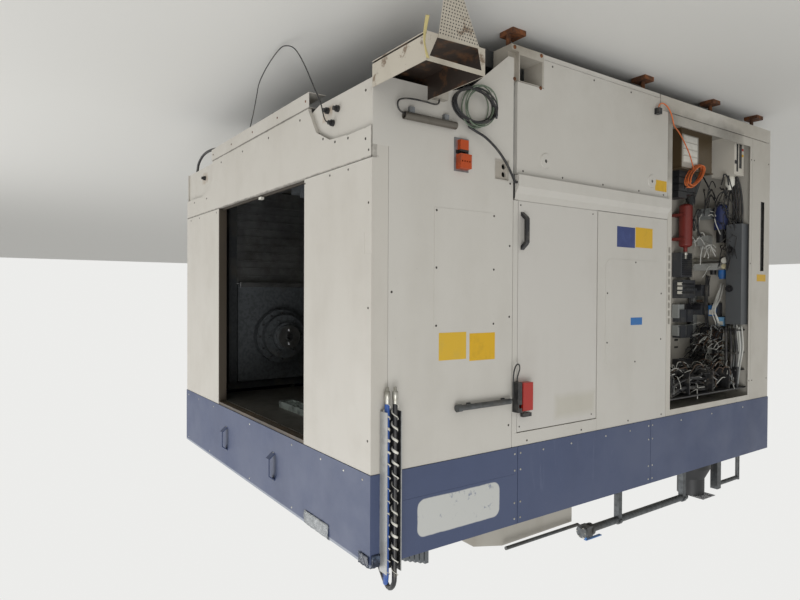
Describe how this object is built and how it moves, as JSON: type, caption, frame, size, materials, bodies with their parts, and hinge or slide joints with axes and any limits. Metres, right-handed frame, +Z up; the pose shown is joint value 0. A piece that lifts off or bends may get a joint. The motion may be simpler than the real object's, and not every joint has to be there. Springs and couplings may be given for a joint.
{
  "type": "cnc machining center",
  "caption": "Used horizontal CNC machining center in a worn white sheet-metal enclosure with a blue top band, open electrical cabinet, side service door, chip tray and loose cables",
  "frame": {"origin": "middle of the four corner anchor holes, at floor level", "axes": "+Z up, +Y from the front with the operator opening to the rear, +X from the long side with the service door and the cabinet to the far side"},
  "size_m": [3.6168, 4.198, 3.263],
  "materials": {
    "levelling_feet_mat": "rough, oily",
    "base_beams_mat": "semi-gloss paint, worn and dirty",
    "corner_blocks_mat": "semi-gloss paint, worn and dirty",
    "enclosure_frame_mat": "dull sheet steel",
    "machine_bed_mat": "rough, oily",
    "chamber_lining_mat": "dull sheet steel",
    "work_lamp_mat": "glossy",
    "column_mat": "rough, oily",
    "lower_way_cover_mat": "dull sheet steel",
    "spindle_head_mat": "rough, oily",
    "spindle_mat": "ground steel",
    "table_saddle_mat": "rough, oily",
    "pallet_table_mat": "rough, oily",
    "rotary_pallet_mat": "dull sheet steel",
    "near_side_panel_mat": "semi-gloss paint, worn and dirty",
    "screwed_covers_mat": "semi-gloss paint, worn and dirty",
    "connector_plate_mat": "dull",
    "side_panels_mat": "semi-gloss paint, worn and dirty",
    "drip_ledge_mat": "semi-gloss paint, worn and dirty",
    "door_frame_mat": "semi-gloss paint, worn and dirty",
    "side_door_mat": "semi-gloss paint, worn and dirty",
    "door_handle_mat": "matte",
    "pivot_pins_mat": "dull sheet steel",
    "switch_body_mat": "glossy",
    "switch_key_mat": "matte",
    "switch_bolt_mat": "matte",
    "cable_conduit_mat": "dull",
    "cabinet_surround_mat": "semi-gloss paint, worn and dirty",
    "cabinet_shell_mat": "semi-gloss paint, worn and dirty",
    "cabinet_boards_mat": "semi-gloss paint, worn and dirty",
    "terminal_box_mat": "semi-gloss paint, worn and dirty",
    "selector_knob_1_mat": "matte",
    "selector_knob_2_mat": "matte",
    "air_service_unit_mat": "glossy",
    "hydraulic_unit_mat": "semi-gloss paint, worn and dirty",
    "accumulator_mat": "semi-gloss paint, worn and dirty",
    "control_modules_mat": "matte",
    "cabinet_wiring_mat": "satin, dusty",
    "front_panels_mat": "semi-gloss paint, worn and dirty",
    "opening_frame_mat": "semi-gloss paint, worn and dirty",
    "front_skirt_mat": "semi-gloss paint, worn and dirty",
    "band_panels_mat": "semi-gloss paint, worn and dirty",
    "band_handles_mat": "semi-gloss paint, worn and dirty",
    "plain_panels_mat": "semi-gloss paint, worn and dirty",
    "roof_hood_mat": "dull sheet steel",
    "roof_pipework_mat": "dull sheet steel",
    "valve_lever_mat": "matte",
    "hose_duct_mat": "dull sheet steel",
    "duct_hoses_mat": "satin, dusty",
    "chip_tray_mat": "semi-gloss paint, worn and dirty",
    "front_loop_cord_mat": "satin, dusty",
    "switch_cord_mat": "satin, dusty",
    "ledge_cord_mat": "satin, dusty",
    "bundle_coil_mat": "satin, dusty",
    "tube_cord_mat": "satin, dusty",
    "orange_coil_mat": "satin, dusty",
    "orange_lead_mat": "satin, dusty",
    "lead_socket_mat": "matte",
    "far_loop_cord_mat": "satin, dusty",
    "tray_strap_mat": "limp webbing"
  },
  "bodies": {
    "root": {"levelling_feet": "levelling_feet_mat", "base_beams": "base_beams_mat", "corner_blocks": "corner_blocks_mat", "enclosure_frame": "enclosure_frame_mat", "machine_bed": "machine_bed_mat", "chamber_lining": "chamber_lining_mat", "work_lamp": "work_lamp_mat", "column": "column_mat", "lower_way_cover": "lower_way_cover_mat", "near_side_panel": "near_side_panel_mat", "screwed_covers": "screwed_covers_mat", "connector_plate": "connector_plate_mat", "side_panels": "side_panels_mat", "drip_ledge": "drip_ledge_mat", "door_frame": "door_frame_mat", "pivot_pins": "pivot_pins_mat", "switch_body": "switch_body_mat", "cable_conduit": "cable_conduit_mat", "cabinet_surround": "cabinet_surround_mat", "cabinet_shell": "cabinet_shell_mat", "cabinet_boards": "cabinet_boards_mat", "terminal_box": "terminal_box_mat", "air_service_unit": "air_service_unit_mat", "hydraulic_unit": "hydraulic_unit_mat", "accumulator": "accumulator_mat", "control_modules": "control_modules_mat", "cabinet_wiring": "cabinet_wiring_mat", "front_panels": "front_panels_mat", "opening_frame": "opening_frame_mat", "front_skirt": "front_skirt_mat", "band_panels": "band_panels_mat", "band_handles": "band_handles_mat", "plain_panels": "plain_panels_mat", "roof_hood": "roof_hood_mat", "roof_pipework": "roof_pipework_mat", "hose_duct": "hose_duct_mat", "duct_hoses": "duct_hoses_mat", "chip_tray": "chip_tray_mat", "front_loop_cord": "front_loop_cord_mat", "switch_cord": "switch_cord_mat", "ledge_cord": "ledge_cord_mat", "bundle_coil": "bundle_coil_mat", "tube_cord": "tube_cord_mat", "orange_coil": "orange_coil_mat", "orange_lead": "orange_lead_mat", "lead_socket": "lead_socket_mat", "far_loop_cord": "far_loop_cord_mat", "tray_strap": "tray_strap_mat"},
    "door": {"side_door": "side_door_mat", "door_handle": "door_handle_mat", "switch_key": "switch_key_mat"},
    "bolt": {"switch_bolt": "switch_bolt_mat"},
    "head": {"spindle_head": "spindle_head_mat"},
    "spindle_body": {"spindle": "spindle_mat"},
    "saddle": {"table_saddle": "table_saddle_mat"},
    "table": {"pallet_table": "pallet_table_mat"},
    "pallet": {"rotary_pallet": "rotary_pallet_mat"},
    "knob_1": {"selector_knob_1": "selector_knob_1_mat"},
    "knob_2": {"selector_knob_2": "selector_knob_2_mat"},
    "valve": {"valve_lever": "valve_lever_mat"}
  },
  "joints": [
    {"name": "door_swing", "type": "hinge", "parent": "root", "child": "door", "pos_m": [-1.573, -0.802, 1.022], "axis": [0, 0, -1], "range_deg": [0, 100]},
    {"name": "bolt_slide", "type": "slide", "parent": "door", "child": "bolt", "axis": [0, -1, 0], "range_m": [0, 0.02]},
    {"name": "head_lift", "type": "slide", "parent": "root", "child": "head", "axis": [0, 0, 1], "range_m": [-0.45, 0], "deforming": ["lower_way_cover"]},
    {"name": "spindle_spin", "type": "hinge", "parent": "head", "child": "spindle_body", "pos_m": [0.915, -1.89, 1.955], "axis": [1, 0, 0], "continuous": true},
    {"name": "saddle_travel", "type": "slide", "parent": "root", "child": "saddle", "axis": [1, 0, 0], "range_m": [-0.35, 0.35]},
    {"name": "table_travel", "type": "slide", "parent": "saddle", "child": "table", "axis": [0, 1, 0], "range_m": [-0.4, 0.24]},
    {"name": "pallet_turn", "type": "hinge", "parent": "table", "child": "pallet", "pos_m": [-0.085, -1.58, 0.96], "axis": [0, 0, 1], "continuous": true},
    {"name": "knob_1_turn", "type": "hinge", "parent": "root", "child": "knob_1", "pos_m": [-1.467, 1.143, 1.515], "axis": [0, 1, 0], "range_deg": [0, 90]},
    {"name": "knob_2_turn", "type": "hinge", "parent": "root", "child": "knob_2", "pos_m": [-1.467, 1.143, 1.18], "axis": [0, 1, 0], "range_deg": [0, 90]},
    {"name": "valve_turn", "type": "hinge", "parent": "root", "child": "valve", "pos_m": [-1.435, -0.69, 3.2], "axis": [0, 0, 1], "range_deg": [0, 90]}
  ]
}
